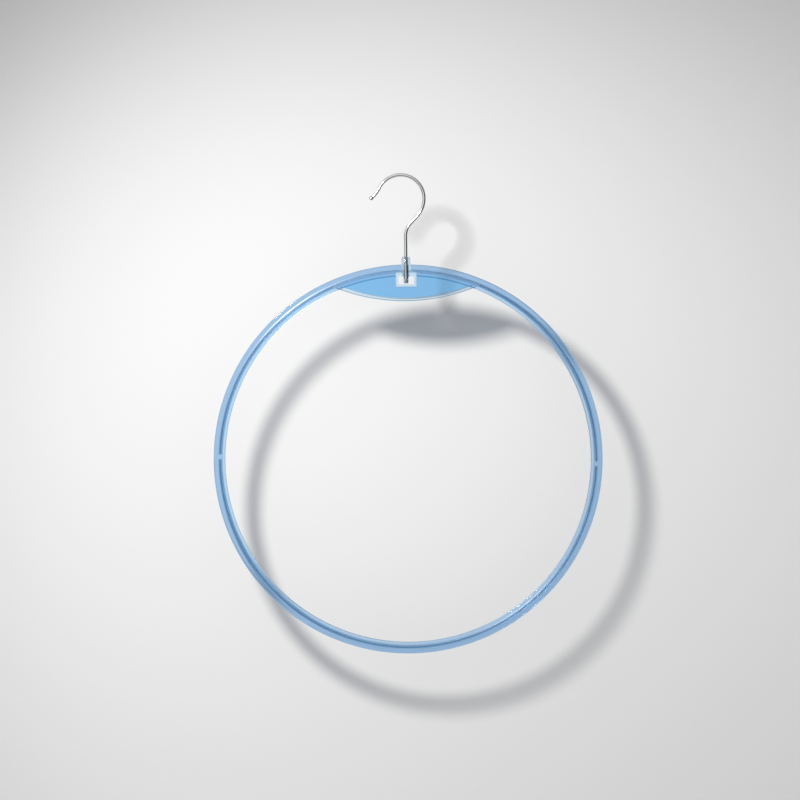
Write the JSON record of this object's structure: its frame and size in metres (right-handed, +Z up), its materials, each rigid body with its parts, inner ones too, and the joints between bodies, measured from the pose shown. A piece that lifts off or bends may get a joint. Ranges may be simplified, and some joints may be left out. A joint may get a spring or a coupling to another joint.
{
  "type": "scarf hanger",
  "caption": "Clear blue plastic ring with a lens-shaped panel, hung from a swivelling bright steel wire hook, for keeping scarves on a wardrobe rail.",
  "frame": {"origin": "inside the crown of the hook, where a wardrobe rail bears, at the middle of the wire's thickness", "axes": "+Z up, +X to the right with the hook's mouth on the left, the front faces -Y"},
  "size_m": [0.35, 0.0092, 0.4323],
  "materials": {
    "clear_blue_plastic": "gloss, transparent",
    "bright_steel": "polished"
  },
  "bodies": {
    "hook": {"hook_wire": "bright_steel", "hook_tip": "bright_steel"},
    "ring": {"ring_frame": "clear_blue_plastic"}
  },
  "joints": [
    {"name": "hook_swivel", "type": "hinge", "parent": "hook", "child": "ring", "pos_m": [0.0042, 0, -0.07225], "axis": [0, 0, 1], "continuous": true}
  ]
}
